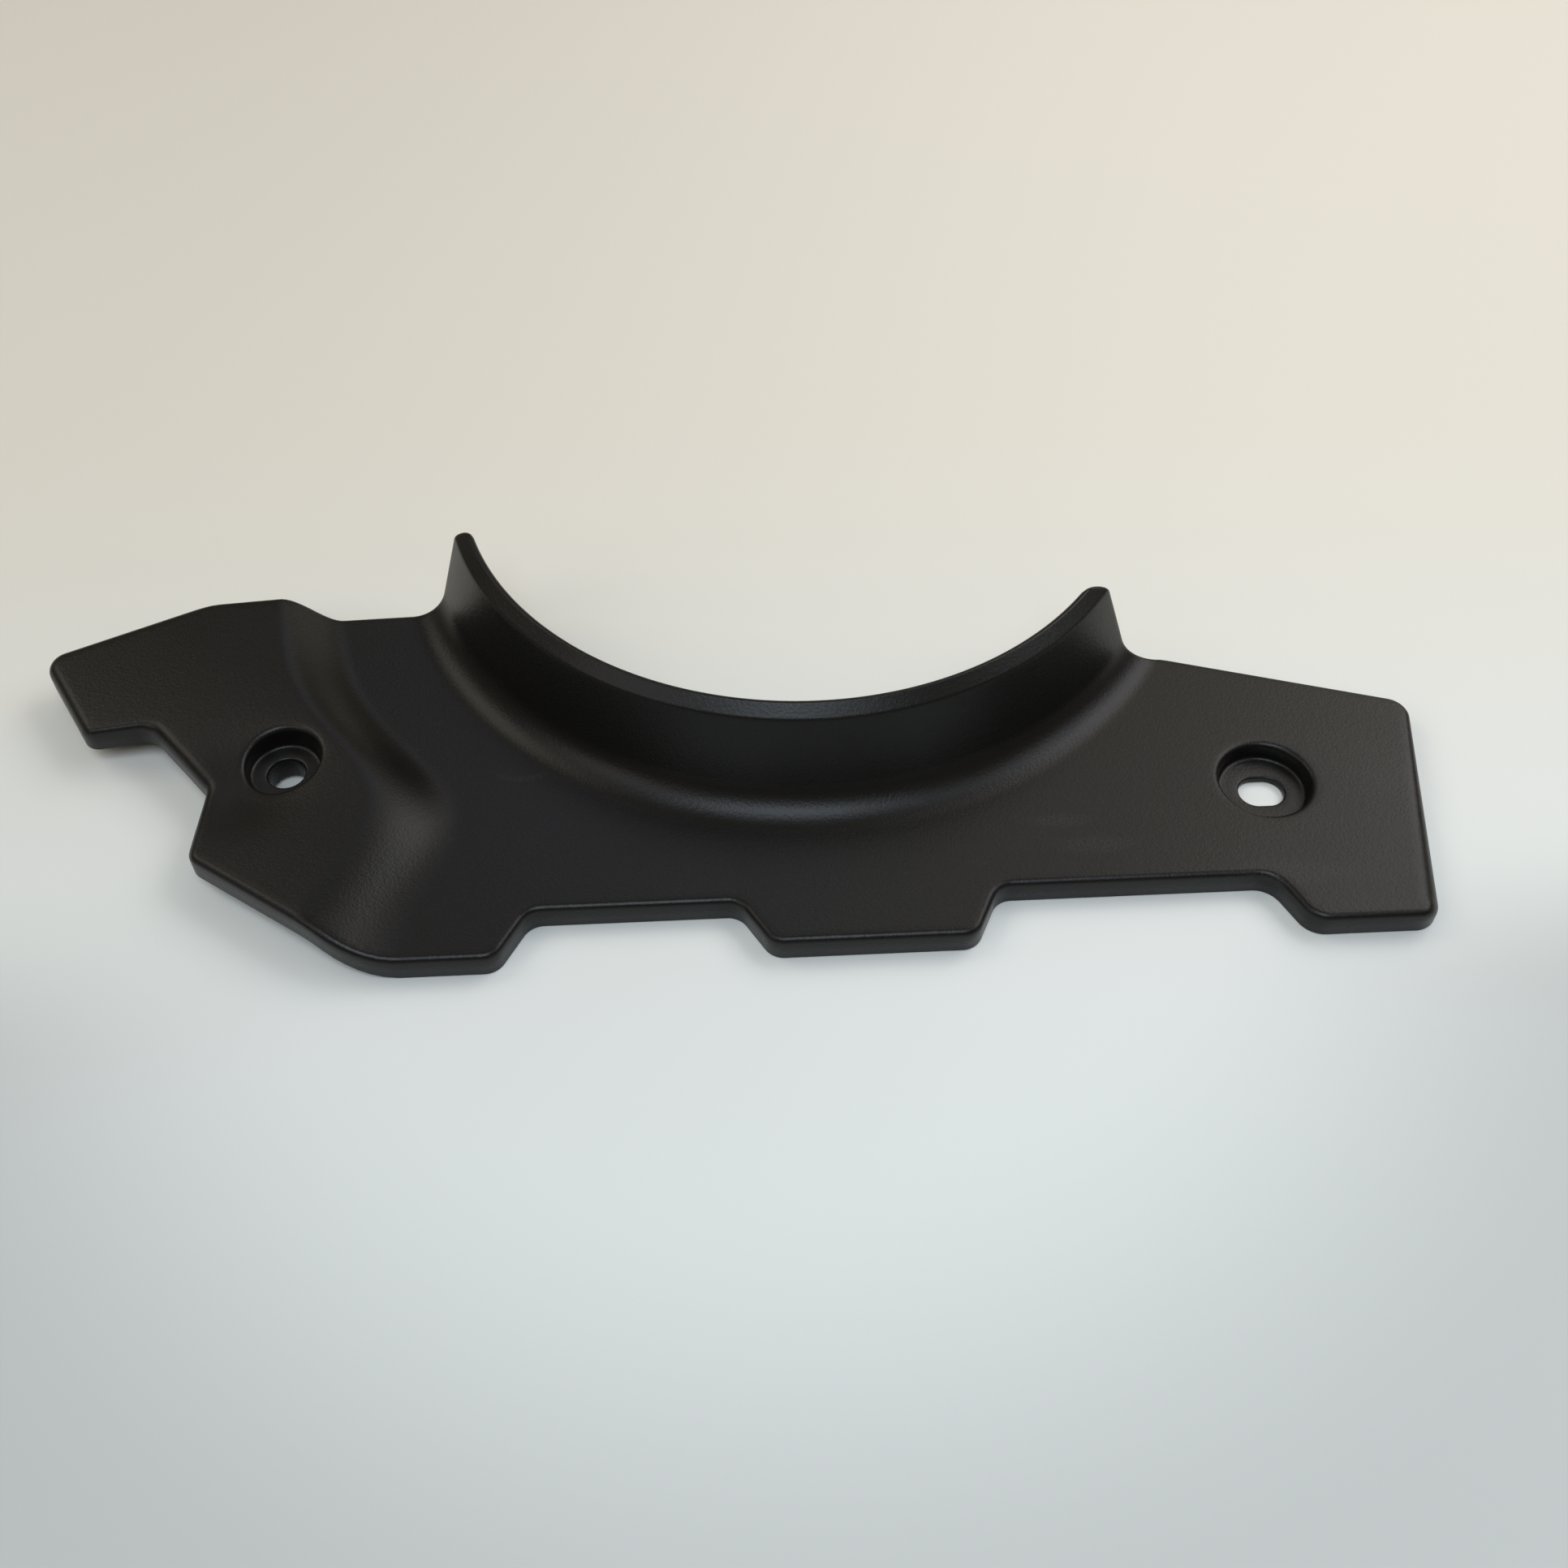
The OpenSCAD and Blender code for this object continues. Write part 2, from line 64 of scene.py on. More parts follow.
TAB1_LEFT, TAB1_RIGHT, TAB1_PAST = 83.2, 58.4, 0.7
TAB2_LEFT, TAB2_RIGHT = 9.7, 26.9
TAB3_LEFT, TAB3_RIGHT = 87.1, 110.5
NOTCH1_DEPTH, NOTCH1_LEAN = 9.2, 0.6
NOTCH2_DEPTH, NOTCH2_LEAN = 10.4, 0.48
TAB_CORNER, TAB1_CORNER = 4.1, 22
TAB3_CORNER = TAB_CORNER + 1

RIGHT_REACH, RIGHT_CORNER_Y, RIGHT_CORNER = 118.8, 51.5, 4.6

WING_REACH, WING_TIP_Y = 151.6, 72.7
WING_END_RUN, WING_END_DROP = 12.4, 20.5
WING_NOTCH_X, WING_NOTCH_Y, WING_NOTCH_SIDE = 113.9, 38.4, 16.6
WING_BACK_X, BACK_Y = 121.1, 84.7
WING_BACK_CORNER, WING_TIP_CORNER, WING_END_CORNER = 20, 4, 3.2
WING_FRONT_RISE, WING_FRONT_CORNER = 1.2, 5
WING_NOTCH_SLANT, WING_NOTCH_CORNER, SIDE_CORNER = 0.9, 3, 4
STEP_BACK, STEP_FRONT, WING_FALL = 7.35, 4.5, 0.04
RAMP_W_BACK, RAMP_W_FRONT = 11.5, 20.0
RAMP_BACK_X, RAMP_FRONT_X = 100.0, 86.5
RAMP_BULGE, RAMP_BULGE_Y, RAMP_BULGE_W = 16.5, 32.6, 22.0

AXIS_Y, RIM_R, COLLAR_H = 106.8, 67.8, 21.4
LIP_W, LIP_RISE, WALL_LEAN, FOOT_R = 3.5, 3.0, 18.0, 8.0
LEFT_END_Y, LEFT_END_LEAN = 86.0, 3.5
RIGHT_END_Y, RIGHT_END_LEAN = 65.7, 1.7
TIP_R, RIM_ROUND, THIN_WALL, EDGE_DROP = 3.1, 1.1, 0.7, 0.3
CREASE_SOFT = 0.45         # height over which the wall blends into the lip

SEAT_DEPTH, SEAT_DRAFT, SEAT_WALL = 3.7, 0.12, 1.8
SEATS = (                  # centre x, centre y, mouth, hole width and length, floor
    (-100.0, 43.1, 14.4, 7.1, 7.1, 5.0),
    (85.7, 32.6, 17.6, 6.8, 8.7, 1.5),
)
# The dip beside the left seat: how far its middle lies off the seat's centre, as a
# share of the mouth
DIP_DEPTH, DIP_REACH, DIP_OFF = 1.4, 9.0, 0.3905
DIP_AT = tuple(c - DIP_OFF * SEATS[0][2] for c in SEATS[0][:2])
MOUTH_ROUND, FLOOR_ROUND, CUP_FILLET = 1.1, 0.7, 0.8
HOLE_ROUND, HOLE_FOOT_ROUND = 0.55, 0.3

# Spacing of the fine mesh
EDGE_STEP = 0.9            # along the outline
FACE_STEP = 1.15           # across the face
UNDER_STEP = 2.6           # across the hidden side
ARC_STEP = math.radians(7)
SEAT_SIDES, MOUTH_TRIES = 96, 4
CREASE_OFFSETS = (-0.7, -0.35, -0.18, -0.07, 0.0, 0.07, 0.18, 0.45)
LIP_SHARES = np.array([0, 0.08, 0.2, 0.36, 0.56, 0.78])
WALL_ROWS, FILLET_ROWS, EDGE_ROWS = 6, 15, 6
FOOT_SOFT, FOOT_SOFT_SHARE = 0.25, 0.1     # softened corners along the edge's foot
LEAST_RISE = 0.02          # of the hidden side over the foot's inner corner
NET_CLEARANCE = 0.62       # least room round a net point, as a share of the spacing
NET_BATCH = 2000           # net points measured at once
MITRE_LIMIT = 0.5
SHARP_ANGLE = math.radians(50)

lean = math.radians(WALL_LEAN)
WALL_TAN = 1 / math.tan(lean)
CREASE_R, CREASE_H = RIM_R + LIP_W, COLLAR_H - LIP_RISE
FILLET_END = CREASE_R + CREASE_H / WALL_TAN + FOOT_R * math.tan((math.pi / 2 - lean) / 2)


# Shape of the face
def ease(t):
    t = np.clip(t, 0, 1)
    return t * t * (3 - 2 * t)


def soft_min(a, b, k):
    """The lower of two heights, blended where they differ by less than k."""
    h = np.clip(0.5 + 0.5 * (b - a) / k, 0, 1)
    return b + (a - b) * h - k * h * (1 - h)


def section(r, depth=0.0):
    """Height of the collar over the plate at radius r, or of its inner side."""
    q = FOOT_R + depth
    run = FILLET_END - r
    fillet = FOOT_R - np.sqrt(np.clip(q * q - run * run, 0, None))
    up = CREASE_H + (CREASE_R - r) * WALL_TAN - depth / math.sin(lean)
    lip = (CREASE_H + (CREASE_R - r) * LIP_RISE / LIP_W
           - depth * math.hypot(LIP_W, LIP_RISE) / LIP_W)
    slope = soft_min(up, lip, CREASE_SOFT)
    inside = run < q * math.cos(lean)
    return np.where(run <= 0, FOOT_R - q, np.where(inside, fillet, slope))


def base(x, y):
    """Height of the face without the collar: the plate, the ramp and the wing."""
    t = y / BACK_Y
    middle = (-(RAMP_FRONT_X + (RAMP_BACK_X - RAMP_FRONT_X) * t)
              + RAMP_BULGE * np.exp(-((y - RAMP_BULGE_Y) / RAMP_BULGE_W) ** 2))
    width = RAMP_W_FRONT + (RAMP_W_BACK - RAMP_W_FRONT) * t
    rise = (STEP_FRONT + (STEP_BACK - STEP_FRONT) * t
            - WING_FALL * np.maximum(0, middle - x))
    dip = DIP_DEPTH * np.exp(-((x - DIP_AT[0]) ** 2 + (y - DIP_AT[1]) ** 2) / DIP_REACH ** 2)
    return FACE_H + ease((middle - x) / width + 0.5) * rise - dip


def top(x, y, depth=0.0):
    """Height of the face, or of the hidden side at the given depth."""
    return base(x, y) + section(np.hypot(x, y - AXIS_Y), depth)


# The outline
def unit(v):
    return v / np.hypot(*v)


def outline_corners():
    """x, y, corner radius, and the edge's rounding before and after the corner."""
    lean1, lean2 = NOTCH1_DEPTH * NOTCH1_LEAN, NOTCH2_DEPTH * NOTCH2_LEAN
    end_x, end_y = WING_END_RUN - WING_REACH, WING_TIP_Y - WING_END_DROP
    front, wing = (FRONT_ROUND, FRONT_ROUND), (WING_ROUND, WING_ROUND)
    return (
        (-WING_BACK_X, BACK_Y, WING_BACK_CORNER, BACK_ROUND, WING_ROUND),
        (-WING_REACH, WING_TIP_Y, WING_TIP_CORNER, *wing),
        (end_x, end_y, WING_END_CORNER, WING_ROUND, FRONT_ROUND),
        (end_x + WING_END_RUN, end_y + WING_FRONT_RISE, WING_FRONT_CORNER,
         FRONT_ROUND, WING_ROUND),
        (-WING_NOTCH_X, WING_NOTCH_Y, WING_NOTCH_CORNER, *wing),
        (-WING_NOTCH_X - WING_NOTCH_SLANT, WING_NOTCH_Y - WING_NOTCH_SIDE, SIDE_CORNER,
         WING_ROUND, FRONT_ROUND),
        (-TAB1_LEFT, -TAB1_PAST, TAB1_CORNER, *front),
        (-TAB1_RIGHT, -TAB1_PAST, TAB_CORNER, *front),
        (-TAB1_RIGHT + lean1, NOTCH1_DEPTH, TAB_CORNER, *front),
        (-TAB2_LEFT - lean1, NOTCH1_DEPTH, TAB_CORNER, *front),
        (-TAB2_LEFT, 0, TAB_CORNER, *front),
        (TAB2_RIGHT, 0, TAB_CORNER, *front),
        (TAB2_RIGHT + lean2, NOTCH2_DEPTH, TAB_CORNER, *front),
        (TAB3_LEFT - lean2, NOTCH2_DEPTH, TAB3_CORNER, *front),
        (TAB3_LEFT, 0, TAB3_CORNER, *front),
        (TAB3_RIGHT, 0, RIGHT_CORNER, FRONT_ROUND, RIGHT_ROUND),
        (RIGHT_REACH, RIGHT_CORNER_Y, RIGHT_CORNER, BACK_ROUND, BACK_ROUND),
    )


def foot(end_y, side):
    return np.array([side * math.sqrt(FILLET_END ** 2 - (AXIS_Y - end_y) ** 2), end_y])


def front_line():
    """Points and edge rounding from the collar's left foot round the front to its
    right foot, with an arc at each corner."""
    corners = outline_corners()
    spots = [foot(LEFT_END_Y, -1)] + [np.array(c[:2], float) for c in corners]
    spots.append(foot(RIGHT_END_Y, 1))
    points, rounding = [spots[0]], [BACK_ROUND]
    last = BACK_ROUND
    for i, (_, _, radius, before, after) in enumerate(corners, 1):
        d1, d2 = unit(spots[i] - spots[i - 1]), unit(spots[i + 1] - spots[i])
        turn = math.atan2(d1[0] * d2[1] - d1[1] * d2[0], d1 @ d2)
        side = math.copysign(1, turn) * np.array([-d1[1], d1[0]])
        centre = spots[i] - d1 * radius * abs(math.tan(turn / 2)) + side * radius
        n = max(4, math.ceil(abs(turn) / ARC_STEP))
        arc = []
        for k in range(n + 1):
            a = turn * k / n
            c, s = math.cos(a), math.sin(a)
            arc.append(centre - radius * np.array([side[0] * c - side[1] * s,
                                                   side[0] * s + side[1] * c]))
        start = points[-1]
        m = max(1, math.ceil(np.hypot(*(arc[0] - start)) / EDGE_STEP))
        for k in range(1, m):
            points.append(start + (arc[0] - start) * k / m)
            rounding.append(last + (before - last) * k / m)
        points += arc
        rounding += [before + (after - before) * float(ease(k / n)) for k in range(n + 1)]
        last = after
    start = points[-1]
    m = math.ceil(np.hypot(*(spots[-1] - start)) / EDGE_STEP)
    for k in range(1, m + 1):
        points.append(start + (spots[-1] - start) * k / m)
        rounding.append(last)
    return np.array(points), np.array(rounding)


def collar_rows():
    """Radii of the collar's rows, from the crease to the foot."""
    crease = CREASE_R + np.array(CREASE_OFFSETS)
    wall_foot = FILLET_END - FOOT_R * math.cos(lean)
    wall = np.linspace(crease[-1], wall_foot, WALL_ROWS)[1:-1]
    turn = np.linspace(math.pi / 2 - lean, 0, FILLET_ROWS)
    return np.concatenate([crease, wall, FILLET_END - FOOT_R * np.sin(turn)])


ROWS = collar_rows()
N_ROWS = len(LIP_SHARES) + len(ROWS)


def row_radii(inset):
    rim = RIM_R + inset
    return np.concatenate([rim + (ROWS[0] - rim) * LIP_SHARES, ROWS])


def end_angle(r, side, inset):
    """Angle at which a row of the collar ends, with the tip rounded off."""
    end_y = LEFT_END_Y if side < 0 else RIGHT_END_Y
    back = (LEFT_END_LEAN if side < 0 else RIGHT_END_LEAN) * section(r) / COLLAR_H
    q = np.maximum(TIP_R - inset, 0)
    trim = np.where(r - RIM_R >= TIP_R, 0,
                    q - np.sqrt(np.clip(q * q - (TIP_R - (r - RIM_R)) ** 2, 0, None)))
    return side * np.arccos((AXIS_Y - end_y - back + inset + trim) / r)


def at_angle(r, a):
    return np.stack([r * np.sin(a), AXIS_Y - r * np.cos(a)], -1)


def thin_share(r):
    """How far a row of the collar belongs to its thin edge: 0 at the foot."""
    return ease((FILLET_END - r) / (FOOT_R * math.cos(lean)))


def end_line(side, foot_inset, rim_inset):
    r = row_radii(rim_inset)
    return at_angle(r, end_angle(r, side, foot_inset + (rim_inset - foot_inset) * thin_share(r)))


FRONT, FRONT_EDGE = front_line()
N_COLS = math.ceil(FILLET_END * float(end_angle(np.array(FILLET_END), 1, 0)
                                      - end_angle(np.array(FILLET_END), -1, 0)) / EDGE_STEP)


def loop_at(inset_front, foot_inset, rim_inset):
    """The closed outline moved inwards: the front line, the collar's right end
    from the foot to the rim, the rim, and the left end back to the foot."""
    right, left = end_line(1, foot_inset, rim_inset)[::-1], end_line(-1, foot_inset, rim_inset)
    rim_r = RIM_R + rim_inset
    a1 = float(end_angle(np.array(rim_r), 1, rim_inset))
    a0 = float(end_angle(np.array(rim_r), -1, rim_inset))
    rim = at_angle(rim_r, np.linspace(a1, a0, N_COLS + 1)[1:-1])
    around = np.concatenate([FRONT[:-1], right, rim, left[:-1]])
    ahead, behind = np.roll(around, -1, 0), np.roll(around, 1, 0)
    n1 = around - behind
    n2 = ahead - around
    n1 = np.stack([-n1[:, 1], n1[:, 0]], 1) / np.hypot(*n1.T)[:, None]
    n2 = np.stack([-n2[:, 1], n2[:, 0]], 1) / np.hypot(*n2.T)[:, None]
    n = n1 + n2
    n /= np.hypot(*n.T)[:, None]
    n /= np.maximum(MITRE_LIMIT, (n * n1).sum(1))[:, None]
    moved = FRONT + 0.0
    moved[1:-1] += n[1:len(FRONT) - 1] * inset_front[1:-1, None]
    moved[0] = left[-1]
    return np.concatenate([moved[:-1], right, rim, left[:-1]])


# Point numbers on the loop: the collar's right foot, the rim's right and left ends,
# and the number of points in all
N_FRONT = len(FRONT) - 1
I_RIM = N_FRONT + N_ROWS - 1
I_LEFT = I_RIM + N_COLS
N_LOOP = I_LEFT + N_ROWS - 1


def polar(p):
    d = p - np.array([0, AXIS_Y])
    return np.hypot(*d.T), np.arctan2(d[..., 0], -d[..., 1])


# Assembling the mesh
class Shell:
    """Collects points and faces of the closed shell."""

    def __init__(self):
        self.points, self.faces, self.count = [], [], 0

    def add(self, pts):
        ids = np.arange(self.count, self.count + len(pts))
        self.points.append(np.asarray(pts, float))
        self.count += len(pts)
        return ids

    def quads(self, rows, closed=True):
        """Faces between rows of point numbers, all of one length."""
        for a, b in zip(rows[:-1], rows[1:]):
            a2, b2 = (np.roll(a, -1), np.roll(b, -1)) if closed else (a[1:], b[1:])
            n = len(a2)
            self.faces += np.stack([a[:n], a2, b2, b[:n]], 1).tolist()


def inside(points, loop):
    """Which points lie inside a closed loop."""
    result = np.zeros(len(points), bool)
    x, y = points[:, 0], points[:, 1]
    for (x1, y1), (x2, y2) in zip(loop, np.roll(loop, -1, 0)):
        if y1 != y2:
            cross = (y1 > y) != (y2 > y)
            result ^= cross & (x < (x2 - x1) * (y - y1) / (y2 - y1) + x1)
    return result


def within_border(tris, edges, n_border):
    """Which facets are reached from the net's own points without crossing a border."""
    border = {frozenset(e) for e in edges}
    sides = {}
    for t, (a, b, c) in enumerate(tris.tolist()):
        for side in (frozenset((a, b)), frozenset((b, c)), frozenset((c, a))):
            if side not in border:
                sides.setdefault(side, []).append(t)
    beside = {}
    for pair in sides.values():
        if len(pair) == 2:
            beside.setdefault(pair[0], []).append(pair[1])
            beside.setdefault(pair[1], []).append(pair[0])
    reached = (tris >= n_border).any(1)
    front = np.flatnonzero(reached).tolist()
    while front:
        for t in beside.get(front.pop(), []):
            if not reached[t]:
                reached[t] = True
                front.append(t)
    return reached


def fill(shell, loop, loop_ids, holes, spacing, height, upwards):
    """Covers the area between a loop and its holes with an even net of facets."""
    edge_points = [loop] + [h[0] for h in holes]
    ids = np.concatenate([loop_ids] + [h[1] for h in holes])
    edges, start = [], 0
    for ring in edge_points:
        n = len(ring)
        edges += [(start + k, start + (k + 1) % n) for k in range(n)]
        start += n
    border = np.concatenate(edge_points)
    (x0, y0), (x1, y1) = loop.min(0), loop.max(0)
    rows = []
    for k, y in enumerate(np.arange(y0, y1, spacing * math.sqrt(3) / 2)):
        x = np.arange(x0 + spacing / 2 * (k % 2), x1, spacing)
        rows.append(np.column_stack([x, np.full(len(x), y)]))
    net = np.concatenate(rows)
    keep = inside(net, loop)
    for ring, _ in holes:
        keep &= ~inside(net, ring)
    net = net[keep]
    room = NET_CLEARANCE * min(spacing, EDGE_STEP * 1.3)
    clear = np.ones(len(net), bool)
    for k in range(0, len(net), NET_BATCH):
        d = net[k:k + NET_BATCH, None, :] - border[None]
        clear[k:k + NET_BATCH] = (d ** 2).sum(-1).min(1) > room ** 2
    net = net[clear]
    xy = np.concatenate([border, net])
    coords = [Vector(p) for p in xy.tolist()]
    _, _, tris, origin, _, _ = delaunay_2d_cdt(coords, edges, [], 0, 1e-6)
    if any(len(o) != 1 for o in origin):
        raise RuntimeError("a border of the face crosses itself")
    first = np.array([o[0] for o in origin])
    tris = first[np.array([t for t in tris if len(t) == 3])]
    tris = tris[within_border(tris, edges, len(border))]
    added = shell.add(np.column_stack([net, height(net[:, 0], net[:, 1])]))
    all_ids = np.concatenate([ids, added])
    shell.faces += all_ids[tris if upwards else tris[:, ::-1]].tolist()


def collar_net(shell, loop, loop_ids, depth, upwards):
    """The collar between its rim and its foot. Returns the foot's inner points."""
    left, right = loop[I_LEFT:], loop[N_FRONT:I_RIM + 1][::-1]
    left = np.concatenate([left, loop[:1]])
    rows = []
    for v in range(N_ROWS):
        left_id = loop_ids[(I_LEFT + v) % N_LOOP]
        right_id = loop_ids[I_RIM - v]
        if v == 0:
            inner = loop_ids[I_RIM + 1:I_LEFT][::-1]
        else:
            (r0, a0), (r1, a1) = polar(left[v]), polar(right[v])
            share = np.linspace(0, 1, N_COLS + 1)[1:-1]
            p = at_angle(r0 + (r1 - r0) * share, a0 + (a1 - a0) * share)
            inner = shell.add(np.column_stack([p, top(p[:, 0], p[:, 1], depth)]))
        rows.append(np.concatenate([[left_id], inner, [right_id]]))
    shell.quads(rows[::-1] if upwards else rows, closed=False)
    return rows[-1]


def curve3(a, b, c, steps):
    """Points on the rounded corner from a by b to c, for whole rings at once."""
    return [(1 - s) ** 2 * a + 2 * s * (1 - s) * b + s * s * c
            for s in np.linspace(0, 1, steps + 1)]


def seat(shell, cx, cy, mouth, hole_w, hole_l, floor_t):
    """One recessed screw seat: its pocket, its hole and the cup below the plate.
    Returns the ring on the face and the ring on the hidden side."""
    a = np.linspace(0, 2 * math.pi, SEAT_SIDES, endpoint=False)
    out = np.stack([np.cos(a), np.sin(a)], 1)
    centre = np.array([cx, cy])
    face = float(base(cx, cy))
    floor_z, floor_r = face - SEAT_DEPTH, mouth / 2 - SEAT_DRAFT * SEAT_DEPTH
    bottom_z = floor_z - floor_t

    def ring(r, z):
        p = centre + out * np.reshape(r, (-1, 1))
        return np.column_stack([p, np.broadcast_to(z, len(a))])

    def on_face(r, depth=0.0):
        p = centre + out * np.reshape(r, (-1, 1))
        return np.column_stack([p, top(p[:, 0], p[:, 1], depth)])

    # the tapered wall is carried up to wherever it meets the face
    rim_r = np.full(len(a), mouth / 2)
    for _ in range(MOUTH_TRIES):
        rim_r = floor_r + SEAT_DRAFT * (on_face(rim_r)[:, 2] - floor_z)
    e = MOUTH_ROUND
    corner = on_face(rim_r)
    rings = curve3(on_face(rim_r + e), corner,
                   ring(rim_r - SEAT_DRAFT * e, corner[:, 2] - e), 6)
    e = FLOOR_ROUND
    rings += curve3(ring(floor_r + SEAT_DRAFT * e, floor_z + e), ring(floor_r, floor_z),
                    ring(floor_r - e, floor_z), 5)
    half = (hole_l - hole_w) / 2
    slot = np.stack([np.sign(np.round(out[:, 0], 9)) * half, np.zeros(len(a))], 1)

    def hole_ring(grow, z):
        return np.column_stack([centre + slot + out * (hole_w / 2 + grow),
                                np.full(len(a), z)])

    e = HOLE_ROUND
    rings.append((rings[-1] + hole_ring(e, floor_z)) / 2)
    rings += curve3(hole_ring(e, floor_z), hole_ring(0, floor_z), hole_ring(0, floor_z - e), 4)
    e = HOLE_FOOT_ROUND
    rings += curve3(hole_ring(0, bottom_z + e), hole_ring(0, bottom_z), hole_ring(e, bottom_z), 3)
    cup_r = mouth / 2 + SEAT_WALL
    rings += curve3(ring(cup_r - e, bottom_z), ring(cup_r, bottom_z), ring(cup_r, bottom_z + e), 3)
    e = CUP_FILLET
    under = on_face(np.full(len(a), cup_r), WALL)
    rings += curve3(ring(cup_r, under[:, 2] - e), under, on_face(cup_r + e, WALL), 4)
    ids = [shell.add(p) for p in rings]
    shell.quads(ids)
    return (rings[0][:, :2], ids[0]), (rings[-1][:, :2], ids[-1])


def build_shell():
    """The whole closed shell: its edge, its seats, its face and its hidden side."""
    shell = Shell()
    outer = loop_at(np.zeros(len(FRONT)), 0.0, 0.0)
    thin = np.zeros(N_LOOP)
    thin[N_FRONT:] = thin_share(polar(outer[N_FRONT:])[0])
    edge = np.concatenate([FRONT_EDGE[:-1],
                           BACK_ROUND + (RIM_ROUND - BACK_ROUND) * thin[N_FRONT:]])

    inset_top = loop_at(FRONT_EDGE, BACK_ROUND, RIM_ROUND)
    top_z = top(inset_top[:, 0], inset_top[:, 1])

    # the hidden side starts a wall's thickness in, or less along the collar
    inset_under = loop_at(np.full(len(FRONT), WALL), WALL, THIN_WALL)
    under_z = top(inset_under[:, 0], inset_under[:, 1], WALL)
    end = np.minimum(top_z - edge, under_z) - EDGE_DROP
    plain = np.minimum(end, base(inset_top[:, 0], inset_top[:, 1]) - FACE_H)
    foot_z = plain + (end - plain) * thin

    rings = []
    for k in range(EDGE_ROWS + 1):
        a = math.pi / 2 * k / EDGE_ROWS
        share = 1 - math.sin(a)
        p = loop_at(FRONT_EDGE * share, BACK_ROUND * share, RIM_ROUND * share)
        rings.append(np.column_stack([p, top_z - edge * (1 - math.cos(a))]))
    rings.append(np.column_stack([outer, foot_z + FOOT_SOFT]))
    for share in (FOOT_SOFT_SHARE, 1 - FOOT_SOFT_SHARE):
        rings.append(np.column_stack([outer + (inset_under - outer) * share, foot_z]))
    inner_z = np.minimum(foot_z + FOOT_SOFT, under_z - LEAST_RISE)
    rings.append(np.column_stack([inset_under, inner_z]))
    rings.append(np.column_stack([inset_under, under_z]))
    ids = [shell.add(r) for r in rings]
    shell.quads(ids[::-1])

    seats = [seat(shell, *s) for s in SEATS]
    for loop, ring_ids, depth, holes, spacing, up in (
            (inset_top, ids[0], 0.0, [s[0] for s in seats], FACE_STEP, True),
            (inset_under, ids[-1], WALL, [s[1] for s in seats], UNDER_STEP, False)):
        foot_ids = collar_net(shell, loop, ring_ids, depth, up)
        points = np.concatenate(shell.points)
        border_ids = np.concatenate([ring_ids[:N_FRONT + 1], foot_ids[1:-1][::-1]])
        fill(shell, points[border_ids][:, :2], border_ids, holes, spacing,
             lambda x, y, d=depth: top(x, y, d), up)
    return np.concatenate(shell.points), shell.faces, outer


def panel_mesh():
    """The panel as one piece about the frame's origin, and the outline's middle."""
    points, faces, outer = build_shell()
    middle = (outer.min(0) + outer.max(0)) / 2
    points[:, :2] -= middle
    mesh = bpy.data.meshes.new("panel_shell")
    mesh.from_pydata((points * MM).tolist(), [], faces)
    mesh.update()
    mesh.shade_smooth()
    mesh.set_sharp_from_angle(angle=SHARP_ANGLE)
    shell = bpy.data.objects.new("panel_shell", mesh)
    bpy.context.collection.objects.link(shell)
    return shell, middle


# Materials
def node(tree, kind, **settings):
    made = tree.nodes.new(kind)
    for name, value in settings.items():
        if name in made.inputs:
            made.inputs[name].default_value = value
        else:
            setattr(made, name, value)
    return made


def new_material(name):
    material = bpy.data.materials.new(name)
    material.use_nodes = True
    tree = material.node_tree
    tree.nodes.clear()
    out = tree.nodes.new("ShaderNodeOutputMaterial")
    shader = tree.nodes.new("ShaderNodeBsdfPrincipled")
    tree.links.new(shader.outputs[0], out.inputs[0])
    return material, tree, shader


def mapped(tree, value, start, end, low=0.0, high=1.0, smooth=False):
    """A value between start and end, brought to lie between low and high."""
    made = node(tree, "ShaderNodeMapRange",
                interpolation_type="SMOOTHSTEP" if smooth else "LINEAR")
    for name, number in (("From Min", start), ("From Max", end),
                         ("To Min", low), ("To Max", high)):
        made.inputs[name].default_value = number
    tree.links.new(value, made.inputs["Value"])
    return made.outputs[0]


# Faint scuffs on the plate: centre in the frame, reach, and the radius of the arc
# that the mark follows (0 for a plain patch), in millimetres
SCUFFS = (
    ((-39.6, -4.2, 5.4), (7.5, 2.6, 1.6), 8.0),
    ((61.0, -19.6, 5.4), (8.5, 2.2, 1.6), 0.0),
    ((66.5, -25.6, 5.4), (10.0, 2.6, 1.6), 0.0),
    ((100.0, -34.0, 5.4), (16.0, 4.0, 1.6), 0.0),
)
# Where a mark is full and where it is gone: as a share of its reach, in metres off its
# arc, by the arc's own radius in metres, and by the grain's level
PATCH_FADE, ARC_FADE, PLAIN_FADE, GRAIN_FADE = (
    (0.35, 1.0), (0.0002, 0.0011), (0.0005, 0.001), (0.62, 0.42))


